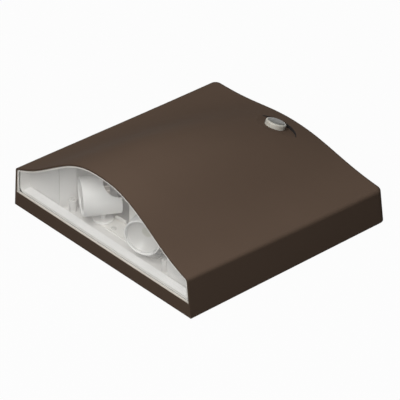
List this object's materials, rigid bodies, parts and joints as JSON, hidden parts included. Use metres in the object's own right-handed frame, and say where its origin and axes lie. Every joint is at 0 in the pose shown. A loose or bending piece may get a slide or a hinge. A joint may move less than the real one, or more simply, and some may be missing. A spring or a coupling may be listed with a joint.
{
  "type": "wall pack light",
  "caption": "Wave-shaped cast wall pack light: bell-arched lens at the bottom edge, aimable lamp heads in a white tray, and a photocell button near the top edge.",
  "frame": {"origin": "centre of the cable entry at the wall, which is the centre of the cover footprint", "axes": "+Z out of the wall, +X along the light opening, -Y towards the opening (down when it hangs on a wall)"},
  "size_m": [0.3, 0.2975, 0.1191],
  "materials": {
    "bronze_paint": "dark bronze powder coat, satin",
    "clear_lens": "clear polycarbonate, polished",
    "lens_gasket_rubber": "beige silicone, matte",
    "black_rubber": "closed-cell rubber, matte",
    "galvanised_sheet": "galvanised, matte",
    "zinc_screws": "zinc plated",
    "white_tray": "white moulded, semi-gloss",
    "bracket_paint": "white paint, semi-gloss",
    "white_sleeve": "white moulded, satin",
    "swivel_plastic": "white moulded, satin",
    "photocell_window": "grey translucent, satin",
    "black_plastic": "moulded, matte",
    "standoff_plastic": "nylon, matte",
    "board_post_brass": "turned",
    "battery_film": "heat-shrink film, gloss",
    "strap_aluminium": "mill finish",
    "driver_case": "mill finish",
    "circuit_board": "solder mask, semi-gloss",
    "board_components": "moulded, matte",
    "terminal_plastic": "nylon, matte",
    "earth_screw_green": "green, semi-gloss",
    "head_glass": "clear, lightly ribbed",
    "reflector_metal": "vacuum metallised",
    "led_board_white": "white solder mask",
    "heat_sink_aluminium": "cast, matte"
  },
  "bodies": {
    "housing": {"front_cover": "bronze_paint", "lens": "clear_lens", "lens_seal": "lens_gasket_rubber", "wall_seal": "black_rubber", "rim_seal": "black_rubber", "entry_grommet": "black_rubber", "back_plate": "galvanised_sheet", "cover_screws": "zinc_screws", "tray_screws": "zinc_screws", "bracket_screws": "zinc_screws", "strap_screws": "zinc_screws", "driver_screws": "zinc_screws", "board_screws": "zinc_screws", "reflector_tray": "white_tray", "head_bracket": "bracket_paint", "photocell_cap": "photocell_window", "photocell_body": "black_plastic", "photocell_nut": "black_plastic", "tray_standoffs": "standoff_plastic", "board_posts": "board_post_brass", "battery_pack": "battery_film", "battery_strap": "strap_aluminium", "lamp_driver": "driver_case", "control_board": "circuit_board", "board_parts": "board_components", "terminal_block": "terminal_plastic", "earth_screw": "earth_screw_green"},
    "left_swivel": {"left_swivel_post": "swivel_plastic", "left_swivel_nut": "zinc_screws"},
    "left_head": {"left_head_sleeve": "white_sleeve", "left_head_glass": "head_glass", "left_head_reflector": "reflector_metal", "left_led_board": "led_board_white", "left_heat_sink": "heat_sink_aluminium", "left_tilt_pin": "zinc_screws"},
    "right_swivel": {"right_swivel_post": "swivel_plastic", "right_swivel_nut": "zinc_screws"},
    "right_head": {"right_head_sleeve": "white_sleeve", "right_head_glass": "head_glass", "right_head_reflector": "reflector_metal", "right_led_board": "led_board_white", "right_heat_sink": "heat_sink_aluminium", "right_tilt_pin": "zinc_screws"}
  },
  "joints": [
    {"name": "left_pan", "type": "hinge", "parent": "housing", "child": "left_swivel", "pos_m": [-0.0418, -0.1097, 0.0208], "axis": [0, 0, 1], "range_deg": [-15, 20]},
    {"name": "left_tilt", "type": "hinge", "parent": "left_swivel", "child": "left_head", "pos_m": [-0.0418, -0.1097, 0.0539], "axis": [0.848, -0.5299, 0], "range_deg": [-12, 8]},
    {"name": "right_pan", "type": "hinge", "parent": "housing", "child": "right_swivel", "pos_m": [0.0418, -0.1097, 0.0208], "axis": [0, 0, 1], "range_deg": [-10, 25]},
    {"name": "right_tilt", "type": "hinge", "parent": "right_swivel", "child": "right_head", "pos_m": [0.0418, -0.1097, 0.0539], "axis": [0.9311, 0.3649, 0], "range_deg": [-12, 8]}
  ]
}
